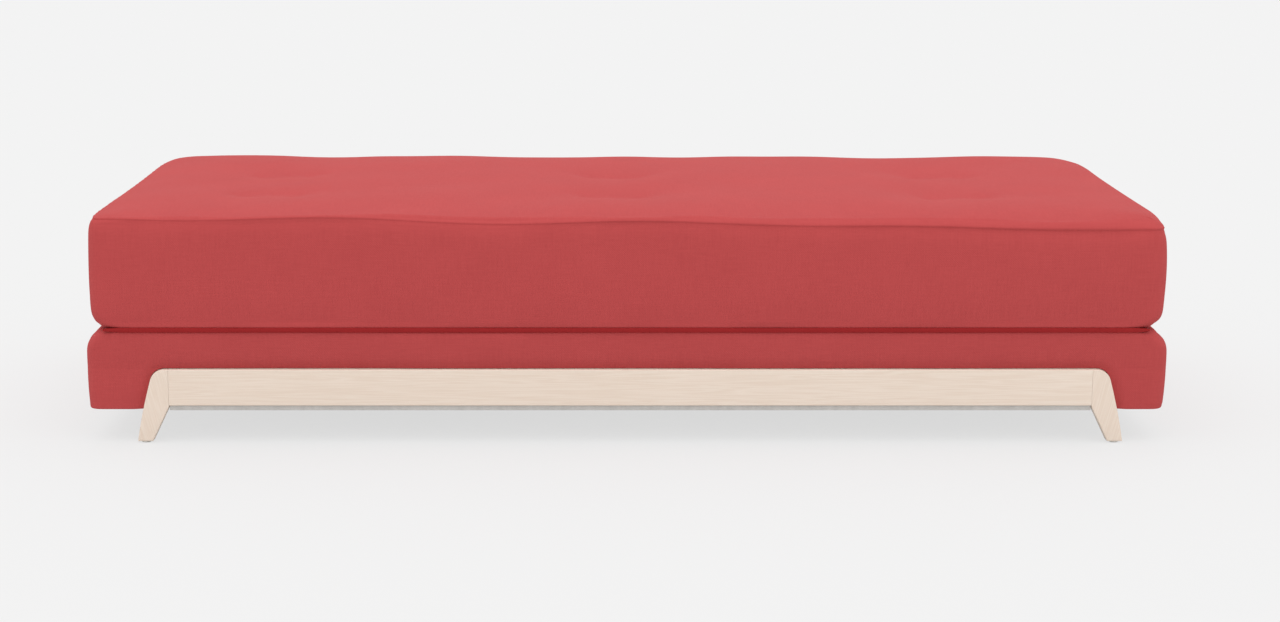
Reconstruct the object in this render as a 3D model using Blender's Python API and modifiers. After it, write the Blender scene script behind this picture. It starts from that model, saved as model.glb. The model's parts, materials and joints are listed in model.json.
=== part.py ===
"""Sofa bed: an upholstered base on a wooden frame, under a mattress that folds over the front edge.

Metres, +Z up, the floor at Z = 0. X runs along the length, and the front faces -Y.
"""
import math

import bmesh
import bpy

# Whole object
MATTRESS_LENGTH = 2.050
MATTRESS_DEPTH = 0.880
MATTRESS_THICKNESS = 0.2215
SEAT_LEVEL = 0.222
BASE_END_REACH = 0.012
BASE_BOTTOM = 0.064

# Gaps
FIT = 0.0003
NOTCH_GAP = 0.0010
CUT_OVER = 0.0200

# Soft forms
TOP_CROWN = 0.0175
UNDER_CROWN = 0.003
BASE_CROWN = 0.0025
CROWN_REACH = 0.080
MATTRESS_BULGE = 0.005
BASE_BULGE = 0.004
PLAN_RADIUS = 0.026
EDGE_RADIUS = 0.012
PLAN_STEPS = 4
EDGE_STEPS = 3
TUFT_COLUMNS = 3
TUFT_ROW_SHARE = 0.307
TUFT_DEPTH = 0.010
TUFT_REACH = 0.100

# Mattress inside
SIDE_PADDING = 0.022
TOP_PADDING = 0.022
UNDER_PADDING = 0.008
CORE_BEVEL = 0.006
TIE_RADIUS = 0.0015
TOGGLE_RADIUS = 0.009
TOGGLE_THICKNESS = 0.002

# Zip at the rear of the mattress
ZIP_END_INSET = 0.125
ZIP_LEVEL = 0.055
ZIP_SLOT = 0.012
ZIP_RECESS = 0.0080
ZIP_TAPE_THICKNESS = 0.0012
ZIP_CHAIN_WIDTH = 0.005
ZIP_CHAIN_PROUD = 0.0008
SLIDER_LENGTH = 0.012
SLIDER_WIDTH = 0.009
SLIDER_THICKNESS = 0.004
PULL_LENGTH = 0.024
PULL_WIDTH = 0.005
PULL_HOLE_RADIUS = 0.0012

# Fold hinge
HINGE_INSET = 0.005
HINGE_CLEARANCE = 0.003
HINGE_END_INSET = 0.035
HINGE_LAP = 0.036
HINGE_FABRIC = 0.0008

# Wooden frame
RAIL_HEIGHT = 0.071
RAIL_THICKNESS = 0.026
RAIL_PROUD = 0.002
REAR_INSET = 0.003
WOOD_EASE = 0.002
FOOT_INSET = 0.091
FOOT_WIDTH = 0.029
LEG_SPLAY = 0.033
LEG_TOP_WIDTH = 0.029
LEG_CORNER_RADIUS = 0.028
LEG_KNEE_INSET = 0.008
LEG_KNEE_LEVEL = 0.055
LEG_INNER_LEVEL = 0.071
CURVE_STEPS = 6
TENON_LENGTH = 0.040
TENON_HEIGHT = 0.027
TENON_THICKNESS = 0.008
TENON_BELOW_TOP = 0.027
GLIDE_THICKNESS = 0.003
GLIDE_RADIUS = 0.009
GLIDE_PIN_RADIUS = 0.0015
GLIDE_PIN_LENGTH = 0.012

# Carcass and upholstery of the base
BOARD_THICKNESS = 0.020
CARCASS_HEIGHT = 0.067
END_PADDING = 0.025
PANEL_THICKNESS = 0.009
PANEL_FACE_INSET = 0.003
PANEL_LEG_GAP = 0.001
BEAM_HEIGHT = 0.060
SLAT_COUNT = 9
SLAT_WIDTH = 0.070
SLAT_THICKNESS = 0.012
SLAT_END_GAP = 0.030
COVER_THICKNESS = 0.003
BOARD_EASE = 0.0015

# Bolts and inserts
LEG_BOLT_INSET = 0.024
LEG_BOLT_LEVEL = 0.090
BOLT_RADIUS = 0.0038
BOLT_HEAD_RADIUS = 0.0075
BOLT_HEAD_HEIGHT = 0.005
BOLT_FLANGE_RADIUS = 0.010
BOLT_FLANGE_HEIGHT = 0.0015
INSERT_RADIUS = 0.006
INSERT_LENGTH = 0.016
ROUND_STEPS = 16

# Lengths, levels and planes worked out from the sizes above
BASE_LENGTH = MATTRESS_LENGTH + 2 * BASE_END_REACH
ZIP_LENGTH = MATTRESS_LENGTH - 2 * ZIP_END_INSET
HINGE_LENGTH = MATTRESS_LENGTH - 2 * HINGE_END_INSET
TUFT_COLUMN_PITCH = MATTRESS_LENGTH / TUFT_COLUMNS
TUFT_ROW_PITCH = MATTRESS_DEPTH * TUFT_ROW_SHARE
FOOT_OUTER_X = BASE_LENGTH / 2 - FOOT_INSET
LEG_KNEE_X = FOOT_OUTER_X - LEG_KNEE_INSET
LEG_CORNER_X = FOOT_OUTER_X - LEG_SPLAY
JOINT_X = LEG_CORNER_X - LEG_TOP_WIDTH
LEG_BOLT_X = JOINT_X + LEG_BOLT_INSET
RAIL_BOLT_X = JOINT_X / 2
AXIS_Y = -MATTRESS_DEPTH / 2 + HINGE_INSET
FRONT_FACE = AXIS_Y + HINGE_INSET + HINGE_CLEARANCE
REAR_FACE = MATTRESS_DEPTH / 2 - REAR_INSET
FRAME_DEPTH = REAR_FACE - FRONT_FACE
BASE_Y = (FRONT_FACE + REAR_FACE) / 2
BASE_DEPTH = FRAME_DEPTH - 2 * RAIL_PROUD
BASE_TOP = SEAT_LEVEL - FIT / 2
MATTRESS_BOTTOM = SEAT_LEVEL + FIT / 2
MATTRESS_TOP = SEAT_LEVEL + MATTRESS_THICKNESS
PANEL_TOP = BASE_BOTTOM + PANEL_THICKNESS
RAIL_BOTTOM = PANEL_TOP + FIT
RAIL_TOP = RAIL_BOTTOM + RAIL_HEIGHT
RAIL_MID = (RAIL_BOTTOM + RAIL_TOP) / 2
CARCASS_LENGTH = BASE_LENGTH - 2 * END_PADDING
SLAT_PITCH = (CARCASS_LENGTH - SLAT_WIDTH - 2 * SLAT_END_GAP) / (SLAT_COUNT - 1)
CARCASS_DEPTH = FRAME_DEPTH - 2 * (RAIL_THICKNESS + FIT)
PANEL_DEPTH = FRAME_DEPTH - 2 * PANEL_FACE_INSET
CARCASS_BOTTOM = PANEL_TOP + FIT
CARCASS_TOP = CARCASS_BOTTOM + CARCASS_HEIGHT
SLAT_BOTTOM = CARCASS_TOP + FIT
SLAT_TOP = SLAT_BOTTOM + SLAT_THICKNESS
CORE_LENGTH = MATTRESS_LENGTH - 2 * SIDE_PADDING
CORE_DEPTH = MATTRESS_DEPTH - 2 * SIDE_PADDING
CORE_BOTTOM = MATTRESS_BOTTOM + UNDER_PADDING
CORE_TOP = MATTRESS_TOP - TOP_PADDING
FOOT_LEVEL = GLIDE_THICKNESS + FIT
TENON_LEVEL = RAIL_TOP - TENON_BELOW_TOP

# Colour, roughness and metallic of each finish
FINISHES = {
    "fabric": ((0.56, 0.09, 0.09), 0.95, 0.0),
    "wood": ((0.78, 0.66, 0.55), 0.55, 0.0),
    "timber": ((0.72, 0.52, 0.30), 0.70, 0.0),
    "foam": ((0.86, 0.82, 0.66), 0.95, 0.0),
    "panel": ((0.30, 0.29, 0.28), 0.90, 0.0),
    "steel": ((0.55, 0.56, 0.57), 0.35, 1.0),
    "plastic": ((0.82, 0.80, 0.76), 0.50, 0.0),
    "cord": ((0.70, 0.66, 0.58), 0.90, 0.0),
}


def clear_scene():
    for obj in list(bpy.data.objects):
        bpy.data.objects.remove(obj, do_unlink=True)


def new_collection(name):
    collection = bpy.data.collections.new(name)
    bpy.context.scene.collection.children.link(collection)
    return collection


def new_material(name, finish):
    colour, roughness, metallic = FINISHES[finish]
    material = bpy.data.materials.new(name)
    material.use_nodes = True
    shader = material.node_tree.nodes["Principled BSDF"]
    shader.inputs["Base Color"].default_value = (*colour, 1.0)
    shader.inputs["Roughness"].default_value = roughness
    shader.inputs["Metallic"].default_value = metallic
    material.diffuse_color = (*colour, 1.0)
    return material


clear_scene()
PARTS = new_collection("Sofa bed")
CUTTERS = new_collection("Cutters")


def add_object(name, mesh, location, rotation, finish):
    """A part when it has a finish, otherwise a hidden cutter."""
    obj = bpy.data.objects.new(name, mesh)
    obj.location = location
    obj.rotation_euler = rotation
    if finish:
        mesh.materials.clear()
        mesh.materials.append(new_material(name + "_material", finish))
        PARTS.objects.link(obj)
    else:
        obj.hide_render = True
        obj.display_type = "WIRE"
        CUTTERS.objects.link(obj)
    return obj


def cut(obj, *cutters):
    for cutter in cutters:
        modifier = obj.modifiers.new("Cut " + cutter.name, "BOOLEAN")
        modifier.operation = "DIFFERENCE"
        modifier.solver = "EXACT"
        modifier.object = cutter


def ease(obj, width, segments):
    modifier = obj.modifiers.new("Eased edges", "BEVEL")
    modifier.width = width
    modifier.segments = segments
    modifier.limit_method = "ANGLE"
    modifier.angle_limit = math.radians(40)


def box(name, size, centre, finish=None, width=0.0, segments=1):
    bm = bmesh.new()
    bmesh.ops.create_cube(bm, size=1.0)
    bmesh.ops.scale(bm, vec=size, verts=bm.verts)
    mesh = bpy.data.meshes.new(name)
    bm.to_mesh(mesh)
    bm.free()
    obj = add_object(name, mesh, centre, (0, 0, 0), finish)
    if width:
        ease(obj, width, segments)
    return obj


def box_between(name, low, high, finish=None, width=0.0, segments=1):
    size = [b - a for a, b in zip(low, high)]
    centre = [(a + b) / 2 for a, b in zip(low, high)]
    return box(name, size, centre, finish, width, segments)


def cylinder(name, radius, length, centre, rotation):
    bm = bmesh.new()
    bmesh.ops.create_cone(
        bm, cap_ends=True, segments=ROUND_STEPS, radius1=radius, radius2=radius, depth=length
    )
    mesh = bpy.data.meshes.new(name)
    bm.to_mesh(mesh)
    bm.free()
    return add_object(name, mesh, centre, rotation, None)


def turned(name, profile, location, rotation, finish=None, ring=False):
    """A body of revolution from (radius, height) points; a ring's profile closes on itself."""
    edges = [(i, i + 1) for i in range(len(profile) - 1)]
    if ring:
        edges.append((len(profile) - 1, 0))
    mesh = bpy.data.meshes.new(name)
    mesh.from_pydata([(r, 0, z) for r, z in profile], edges, [])
    obj = add_object(name, mesh, location, rotation, finish)
    screw = obj.modifiers.new("Turned", "SCREW")
    screw.steps = ROUND_STEPS
    screw.render_steps = ROUND_STEPS
    screw.use_merge_vertices = True
    screw.merge_threshold = 0.00001
    screw.use_normal_calculate = True
    screw.use_normal_flip = True
    return obj


def plate(name, outline, thickness, location, rotation, finish=None, eased=0.0):
    """A flat outline with a thickness, drawn as a filled 2D curve and turned into a mesh."""
    data = bpy.data.curves.new(name + " outline", "CURVE")
    data.dimensions = "2D"
    data.fill_mode = "BOTH"
    data.extrude = thickness / 2 - eased
    data.bevel_depth = eased
    data.bevel_resolution = 1
    data.offset = -eased
    spline = data.splines.new("POLY")
    spline.points.add(len(outline) - 1)
    for point, (u, v) in zip(spline.points, outline):
        point.co = (u, v, 0, 1)
    spline.use_cyclic_u = True
    curve = bpy.data.objects.new(name + " outline", data)
    CUTTERS.objects.link(curve)
    curve.location = location
    curve.rotation_euler = rotation
    bpy.context.view_layer.update()
    graph = bpy.context.evaluated_depsgraph_get()
    mesh = bpy.data.meshes.new_from_object(curve.evaluated_get(graph))
    bm = bmesh.new()
    bm.from_mesh(mesh)
    bmesh.ops.remove_doubles(bm, verts=bm.verts, dist=0.00001)
    bm.to_mesh(mesh)
    bm.free()
    obj = add_object(name, mesh, (0, 0, 0), (0, 0, 0), finish)
    obj.matrix_world = curve.matrix_world
    bpy.data.objects.remove(curve, do_unlink=True)
    return obj


UPRIGHT = (math.pi / 2, 0, 0)
UPRIGHT_TURNED = (math.pi / 2, 0, math.pi)
ALONG_X = (math.pi / 2, 0, math.pi / 2)


def slice_at(bm, axis, position, top_only=False):
    """A loop of edges across the block, or across its top face alone."""
    origin = [0, 0, 0]
    normal = [0, 0, 0]
    origin[axis] = position
    normal[axis] = 1
    bm.normal_update()
    faces = [f for f in bm.faces if f.normal.z > 0.99] if top_only else list(bm.faces)
    edges = {e for f in faces for e in f.edges}
    verts = {v for f in faces for v in f.verts}
    geometry = list(verts) + list(edges) + faces
    bmesh.ops.bisect_plane(bm, geom=geometry, dist=0.00001, plane_co=origin, plane_no=normal)


def rise(distance):
    """How far a padded face has risen to its full height at a distance in from its edge."""
    share = min(max(distance / CROWN_REACH, 0.0), 1.0)
    return 1 - (1 - share) ** 2


def tuft_centres():
    columns = [(i - (TUFT_COLUMNS - 1) / 2) * TUFT_COLUMN_PITCH for i in range(TUFT_COLUMNS)]
    rows = (-TUFT_ROW_PITCH / 2, TUFT_ROW_PITCH / 2)
    return [(x, y) for y in rows for x in columns]


def tuft_dip(x, y):
    dip = 0.0
    for cx, cy in tuft_centres():
        share = min(math.hypot(x - cx, y - cy) / TUFT_REACH, 1.0)
        dip += TUFT_DEPTH * (1 - share ** 2) ** 2
    return dip


def padded_block(name, length, depth, low, high, y, crown, under, bulge, finish=None, tufted=False):
    """A cushion form: rounded edges, crowned faces, sides drawn in at the seams, and tufts if asked."""
    seam_length = length - 2 * bulge
    seam_depth = depth - 2 * bulge
    height = high - low - crown - under
    bm = bmesh.new()
    bmesh.ops.create_cube(bm, size=1.0)
    bmesh.ops.scale(bm, vec=(seam_length, seam_depth, height), verts=bm.verts)
    corners = [e for e in bm.edges if abs(e.verts[0].co.z - e.verts[1].co.z) > height / 2]
    bmesh.ops.bevel(
        bm, geom=corners, offset=PLAN_RADIUS, offset_type="OFFSET", segments=PLAN_STEPS,
        profile=0.5, affect="EDGES"
    )
    rims = [e for e in bm.edges if abs(e.verts[0].co.z - e.verts[1].co.z) < height / 2]
    bmesh.ops.bevel(
        bm, geom=rims, offset=EDGE_RADIUS, offset_type="OFFSET", segments=EDGE_STEPS,
        profile=0.5, affect="EDGES"
    )
    for side in (-1, 1):
        for inset in (CROWN_REACH / 3, CROWN_REACH):
            slice_at(bm, 0, side * (seam_length / 2 - inset))
            slice_at(bm, 1, side * (seam_depth / 2 - inset))
    for share in (-0.25, 0.0, 0.25):
        slice_at(bm, 2, share * height)
    if tufted:
        for offset in (-1.0, -0.5, 0.0, 0.5, 1.0):
            for cx in {x for x, _ in tuft_centres()}:
                slice_at(bm, 0, cx + offset * TUFT_REACH, top_only=True)
            for cy in {y for _, y in tuft_centres()}:
                slice_at(bm, 1, cy + offset * TUFT_REACH, top_only=True)
    for vert in bm.verts:
        vx, vy, vz = vert.co
        lift = rise(seam_length / 2 - abs(vx)) * rise(seam_depth / 2 - abs(vy))
        swell = bulge * (1 - min(abs(2 * vz / height), 1.0) ** 2)
        vert.co.x = vx * (1 + 2 * swell / seam_length)
        vert.co.y = vy * (1 + 2 * swell / seam_depth)
        if vz > 0:
            vert.co.z = vz + crown * lift
            if tufted and vz > height / 2 - FIT:
                vert.co.z -= tuft_dip(vx, vy)
        else:
            vert.co.z = vz - under * lift
    mesh = bpy.data.meshes.new(name)
    bm.to_mesh(mesh)
    bm.free()
    return add_object(name, mesh, (0, y, low + under + height / 2), (0, 0, 0), finish)


def arc(centre, radius, start, end, steps):
    """Points on a circle, from one angle to another."""
    angles = [start + (end - start) * i / steps for i in range(steps + 1)]
    return [(centre[0] + radius * math.cos(a), centre[1] + radius * math.sin(a)) for a in angles]


def leg_outer_side(gap):
    """Outer side of a right leg with its rounded top corner, from the top edge to the foot."""
    corner = (LEG_CORNER_X + gap, RAIL_TOP + gap)
    knee = (LEG_KNEE_X + gap, LEG_KNEE_LEVEL)
    foot = (FOOT_OUTER_X + gap, FOOT_LEVEL)
    slope = math.atan2(corner[1] - knee[1], knee[0] - corner[0])
    radius = LEG_CORNER_RADIUS + gap
    tangent = radius / math.tan((math.pi - slope) / 2)
    centre = (corner[0] - tangent, corner[1] - radius)
    points = arc(centre, radius, math.pi / 2, math.pi / 2 - slope, CURVE_STEPS)
    start = points[-1]
    for i in range(1, CURVE_STEPS + 1):
        t = i / CURVE_STEPS
        weights = ((1 - t) ** 2, 2 * t * (1 - t), t ** 2)
        u = weights[0] * start[0] + weights[1] * knee[0] + weights[2] * foot[0]
        v = weights[0] * start[1] + weights[1] * knee[1] + weights[2] * foot[1]
        points.append((u, v))
    return points


def leg_outline():
    """A right leg, running past the joint, where it is cut off; a left leg is the same turned half round."""
    foot_inner = FOOT_OUTER_X - FOOT_WIDTH
    slope = (LEG_INNER_LEVEL - FOOT_LEVEL) / (foot_inner - JOINT_X)
    past = JOINT_X - CUT_OVER
    return leg_outer_side(0.0) + [
        (foot_inner, FOOT_LEVEL),
        (past, LEG_INNER_LEVEL + slope * CUT_OVER),
        (past, RAIL_TOP),
    ]


def rail_outline():
    """Section of a rail, with its long edges rounded."""
    half_y = RAIL_THICKNESS / 2 - WOOD_EASE
    half_z = RAIL_HEIGHT / 2 - WOOD_EASE
    corners = ((half_y, half_z), (-half_y, half_z), (-half_y, -half_z), (half_y, -half_z))
    points = []
    for i, centre in enumerate(corners):
        points += arc(centre, WOOD_EASE, i * math.pi / 2, (i + 1) * math.pi / 2, EDGE_STEPS)
    return points


ENDS = (("front", -1), ("rear", 1))
SIDES = (("left", -1), ("right", 1))
RAIL_Y = {"front": FRONT_FACE + RAIL_THICKNESS / 2, "rear": REAR_FACE - RAIL_THICKNESS / 2}
BOARD_Y = {
    "front": BASE_Y - CARCASS_DEPTH / 2 + BOARD_THICKNESS / 2,
    "rear": BASE_Y + CARCASS_DEPTH / 2 - BOARD_THICKNESS / 2,
}
BOLT_PLACES = (
    (-LEG_BOLT_X, LEG_BOLT_LEVEL),
    (-RAIL_BOLT_X, RAIL_MID),
    (RAIL_BOLT_X, RAIL_MID),
    (LEG_BOLT_X, LEG_BOLT_LEVEL),
)


def outward(direction):
    """Turns a turned piece's height to face out of the front or the rear."""
    return (-direction * math.pi / 2, 0, 0)


def make_rail(end):
    length = 2 * JOINT_X - FIT
    return plate(end + "_rail", rail_outline(), length, (0, RAIL_Y[end], RAIL_MID), ALONG_X, "wood")


def make_leg(end, side_name, side):
    name = f"{end}_{side_name}_leg"
    turn = UPRIGHT if side > 0 else UPRIGHT_TURNED
    leg = plate(name, leg_outline(), RAIL_THICKNESS, (0, RAIL_Y[end], 0), turn, "wood", WOOD_EASE)
    past = side * (JOINT_X - 2 * CUT_OVER)
    joint = side * (JOINT_X + FIT / 2)
    joint_face = box_between(
        name + " joint face",
        (min(past, joint), RAIL_Y[end] - RAIL_THICKNESS, 0),
        (max(past, joint), RAIL_Y[end] + RAIL_THICKNESS, RAIL_TOP + CUT_OVER)
    )
    cut(leg, joint_face)
    return leg


def make_tenon(end, side_name, side, rail, leg):
    centre = (side * JOINT_X, RAIL_Y[end], TENON_LEVEL)
    size = (TENON_LENGTH, TENON_THICKNESS, TENON_HEIGHT)
    name = f"{end}_{side_name}_tenon"
    mortise = box(name + " mortise", [s + 2 * FIT for s in size], centre)
    cut(rail, mortise)
    cut(leg, mortise)
    return box(name, size, centre, "timber", BOARD_EASE)


def make_glide(end, side_name, side, leg):
    centre = (side * (FOOT_OUTER_X - FOOT_WIDTH / 2), RAIL_Y[end], 0)
    pin_top = GLIDE_THICKNESS + GLIDE_PIN_LENGTH
    profile = [
        (0, 0),
        (GLIDE_RADIUS * 0.9, 0),
        (GLIDE_RADIUS, GLIDE_THICKNESS * 0.4),
        (GLIDE_RADIUS, GLIDE_THICKNESS),
        (GLIDE_PIN_RADIUS, GLIDE_THICKNESS),
        (GLIDE_PIN_RADIUS, pin_top),
        (0, pin_top),
    ]
    name = f"{end}_{side_name}_glide"
    bore = cylinder(
        name + " bore", GLIDE_PIN_RADIUS + FIT, 2 * (pin_top + FIT), centre, (0, 0, 0)
    )
    cut(leg, bore)
    return turned(name, profile, centre, (0, 0, 0), "plastic")


def make_board(end):
    size = (CARCASS_LENGTH, BOARD_THICKNESS, CARCASS_HEIGHT)
    level = CARCASS_BOTTOM + CARCASS_HEIGHT / 2
    return box(f"carcass_{end}_board", size, (0, BOARD_Y[end], level), "timber", BOARD_EASE)


def make_bolt(end, direction, number, place, holder, board):
    """A bolt through a carcass board, and the threaded insert that it enters."""
    x, level = place
    inner = BOARD_Y[end] - direction * BOARD_THICKNESS / 2
    outer = BOARD_Y[end] + direction * (BOARD_THICKNESS / 2 + FIT)
    reach = BOARD_THICKNESS + INSERT_LENGTH
    flange = -FIT - BOLT_FLANGE_HEIGHT
    bolt_profile = [
        (0, flange - BOLT_HEAD_HEIGHT),
        (BOLT_HEAD_RADIUS, flange - BOLT_HEAD_HEIGHT),
        (BOLT_HEAD_RADIUS, flange),
        (BOLT_FLANGE_RADIUS, flange),
        (BOLT_FLANGE_RADIUS, -FIT),
        (BOLT_RADIUS, -FIT),
        (BOLT_RADIUS, reach),
        (0, reach),
    ]
    insert_profile = [
        (BOLT_RADIUS + FIT, FIT),
        (INSERT_RADIUS, FIT),
        (INSERT_RADIUS, INSERT_LENGTH),
        (BOLT_RADIUS + FIT, INSERT_LENGTH),
    ]
    facing = outward(direction)
    turned(f"{end}_bolt_{number}", bolt_profile, (x, inner, level), facing, "steel")
    turned(f"{end}_insert_{number}", insert_profile, (x, outer, level), facing, "steel", ring=True)
    hole = cylinder(
        f"{end} board hole {number}", BOLT_RADIUS + FIT, 2 * BOARD_THICKNESS,
        (x, BOARD_Y[end], level), facing
    )
    cut(board, hole)
    bore_depth = INSERT_LENGTH + 2 * FIT
    bore = cylinder(
        f"{end} insert bore {number}", INSERT_RADIUS + FIT, 2 * bore_depth, (x, outer, level), facing
    )
    cut(holder, bore)


def make_frame():
    for end, direction in ENDS:
        rail = make_rail(end)
        board = make_board(end)
        legs = {}
        for side_name, side in SIDES:
            leg = make_leg(end, side_name, side)
            make_tenon(end, side_name, side, rail, leg)
            make_glide(end, side_name, side, leg)
            legs[side] = leg
        holders = (legs[-1], rail, rail, legs[1])
        for number, (place, holder) in enumerate(zip(BOLT_PLACES, holders), start=1):
            make_bolt(end, direction, number, place, holder, board)


def make_carcass():
    """End boards, centre beam and slats; the long boards come with the frame."""
    between = CARCASS_DEPTH - 2 * (BOARD_THICKNESS + FIT)
    level = CARCASS_BOTTOM + CARCASS_HEIGHT / 2
    for side_name, side in SIDES:
        x = side * (CARCASS_LENGTH - BOARD_THICKNESS) / 2
        size = (BOARD_THICKNESS, between, CARCASS_HEIGHT)
        box(f"carcass_{side_name}_board", size, (x, BASE_Y, level), "timber", BOARD_EASE)
    beam_length = CARCASS_LENGTH - 2 * (BOARD_THICKNESS + FIT)
    beam_size = (beam_length, BOARD_THICKNESS, BEAM_HEIGHT)
    beam_centre = (0, BASE_Y, CARCASS_TOP - BEAM_HEIGHT / 2)
    box("centre_beam", beam_size, beam_centre, "timber", BOARD_EASE)
    for i in range(SLAT_COUNT):
        x = (i - (SLAT_COUNT - 1) / 2) * SLAT_PITCH
        size = (SLAT_WIDTH, CARCASS_DEPTH, SLAT_THICKNESS)
        centre = (x, BASE_Y, SLAT_BOTTOM + SLAT_THICKNESS / 2)
        box(f"slat_{i + 1}", size, centre, "timber", BOARD_EASE)


def make_panel():
    """The underside panel: it carries the carcass and the rails, and clears the legs at its corners."""
    size = (CARCASS_LENGTH, PANEL_DEPTH, PANEL_THICKNESS)
    panel = box("underside_panel", size, (0, BASE_Y, BASE_BOTTOM + PANEL_THICKNESS / 2), "panel")
    for end, direction in ENDS:
        inner = BASE_Y + direction * CARCASS_DEPTH / 2
        outer = BASE_Y + direction * (FRAME_DEPTH / 2 + CUT_OVER)
        for side_name, side in SIDES:
            near = side * (JOINT_X - PANEL_LEG_GAP)
            far = side * (CARCASS_LENGTH / 2 + CUT_OVER)
            corner = box_between(
                f"{end} {side_name} panel corner",
                (min(near, far), min(inner, outer), BASE_BOTTOM - CUT_OVER),
                (max(near, far), max(inner, outer), PANEL_TOP + CUT_OVER)
            )
            cut(panel, corner)


def carcass_space(name, low, high):
    half_x = CARCASS_LENGTH / 2 + FIT
    half_y = CARCASS_DEPTH / 2 + FIT
    return box_between(
        name, (-half_x, BASE_Y - half_y, low), (half_x, BASE_Y + half_y, high)
    )


def frame_notch(end, direction):
    """Room for a rail and its legs in the front or rear of the upholstery."""
    right = leg_outer_side(NOTCH_GAP)
    outline = right + [(-u, v) for u, v in reversed(right)]
    inner = BASE_Y + direction * (CARCASS_DEPTH / 2 - CUT_OVER / 4)
    outer = BASE_Y + direction * (FRAME_DEPTH / 2 + CUT_OVER)
    centre = (0, (inner + outer) / 2, 0)
    return plate(end + " frame notch", outline, abs(outer - inner), centre, UPRIGHT)


def make_base_upholstery():
    notches = [frame_notch(end, direction) for end, direction in ENDS]
    cover = padded_block(
        "base_cover", BASE_LENGTH, BASE_DEPTH, BASE_BOTTOM, BASE_TOP, BASE_Y,
        BASE_CROWN, 0.0, BASE_BULGE, "fabric"
    )
    inset = COVER_THICKNESS
    hollow = padded_block(
        "base cover hollow", BASE_LENGTH - 2 * inset, BASE_DEPTH - 2 * inset,
        BASE_BOTTOM + inset, BASE_TOP - inset, BASE_Y, BASE_CROWN, 0.0, BASE_BULGE
    )
    opening = carcass_space("base cover opening", BASE_BOTTOM - CUT_OVER, CARCASS_TOP)
    cut(cover, hollow, opening, *notches)
    inset = COVER_THICKNESS + FIT
    foam = padded_block(
        "base_foam", BASE_LENGTH - 2 * inset, BASE_DEPTH - 2 * inset,
        BASE_BOTTOM + inset, BASE_TOP - inset, BASE_Y, BASE_CROWN, 0.0, BASE_BULGE, "foam"
    )
    cut(foam, carcass_space("base foam hollow", BASE_BOTTOM - CUT_OVER, SLAT_TOP + FIT), *notches)


TUFT_NAMES = [f"{row}_{column}" for row in ("front", "rear") for column in ("left", "middle", "right")]


def tie_profile(gap):
    """A tuft tie: a cord with a toggle at each end, let into the faces of the core."""
    low = CORE_BOTTOM + FIT - gap
    high = CORE_TOP - FIT + gap
    toggle = TOGGLE_THICKNESS + 2 * gap
    return [
        (0, low),
        (TOGGLE_RADIUS + gap, low),
        (TOGGLE_RADIUS + gap, low + toggle),
        (TIE_RADIUS + gap, low + toggle),
        (TIE_RADIUS + gap, high - toggle),
        (TOGGLE_RADIUS + gap, high - toggle),
        (TOGGLE_RADIUS + gap, high),
        (0, high),
    ]


def zip_tape_outline():
    half = ZIP_SLOT / 2 - FIT
    chain = ZIP_CHAIN_WIDTH / 2
    back = -ZIP_TAPE_THICKNESS
    return [
        (back, -half), (0, -half), (0, -chain), (ZIP_CHAIN_PROUD, -chain),
        (ZIP_CHAIN_PROUD, chain), (0, chain), (0, half), (back, half),
    ]


def slider_outline():
    """Seen from the rear: the slider's body at the right, and its pull lying along the zip."""
    body = SLIDER_WIDTH / 2
    pull = PULL_WIDTH / 2
    return [
        (0, -body), (SLIDER_LENGTH, -body), (SLIDER_LENGTH, body), (0, body),
        (0, pull), (-PULL_LENGTH, pull), (-PULL_LENGTH, -pull), (0, -pull),
    ]


def make_zip():
    level = MATTRESS_BOTTOM + ZIP_LEVEL
    face = MATTRESS_DEPTH / 2 - ZIP_RECESS
    tape = plate(
        "mattress_zip", zip_tape_outline(), ZIP_LENGTH - 2 * FIT, (0, face, level), ALONG_X, "plastic"
    )
    slider_y = face + ZIP_CHAIN_PROUD + FIT + SLIDER_THICKNESS / 2
    slider_x = ZIP_LENGTH / 2 - 2 * SLIDER_LENGTH
    slider = plate(
        "mattress_zip_slider", slider_outline(), SLIDER_THICKNESS,
        (slider_x, slider_y, level), UPRIGHT, "steel"
    )
    hole_x = slider_x - PULL_LENGTH + PULL_WIDTH / 2
    hole = cylinder(
        "pull hole", PULL_HOLE_RADIUS, 2 * SLIDER_THICKNESS, (hole_x, slider_y, level), UPRIGHT
    )
    cut(slider, hole)
    return tape, slider


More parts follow.
